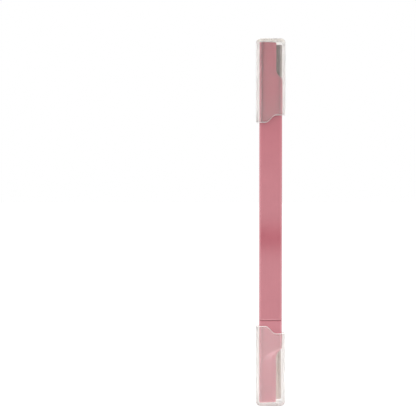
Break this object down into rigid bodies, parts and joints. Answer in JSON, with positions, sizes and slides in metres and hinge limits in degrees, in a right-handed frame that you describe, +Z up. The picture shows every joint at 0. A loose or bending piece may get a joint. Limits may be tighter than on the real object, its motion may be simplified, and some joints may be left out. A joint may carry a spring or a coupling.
{
  "type": "eyebrow razor",
  "caption": "Slim flat-handled eyebrow razor with a straight blade at each end, standing with clear push-on caps over the blades.",
  "frame": {"origin": "middle of the lower cap's end face, on which the capped razor stands", "axes": "+Z up the razor from the long blade's end to the short blade's, +X towards the cutting edges, -Y towards the face with the seam near the lower cap"},
  "size_m": [0.012, 0.0072, 0.15],
  "materials": {
    "cap_plastic": "clear, faintly hazy moulded plastic",
    "handle_plastic": "smooth, glossy dusty pink moulded plastic",
    "blade_steel": "rolled strip with a ground edge"
  },
  "bodies": {
    "lower_cap": {"lower_cap": "cap_plastic"},
    "razor": {"lower_handle_half": "handle_plastic", "upper_handle_half": "handle_plastic", "long_blade": "blade_steel", "short_blade": "blade_steel"},
    "upper_cap": {"upper_cap": "cap_plastic"}
  },
  "joints": [
    {"name": "lower_cap_slide", "type": "slide", "parent": "lower_cap", "child": "razor", "axis": [0, 0, 1], "range_m": [0, 0.036]},
    {"name": "upper_cap_slide", "type": "slide", "parent": "razor", "child": "upper_cap", "axis": [0, 0, 1], "range_m": [0, 0.037]}
  ]
}
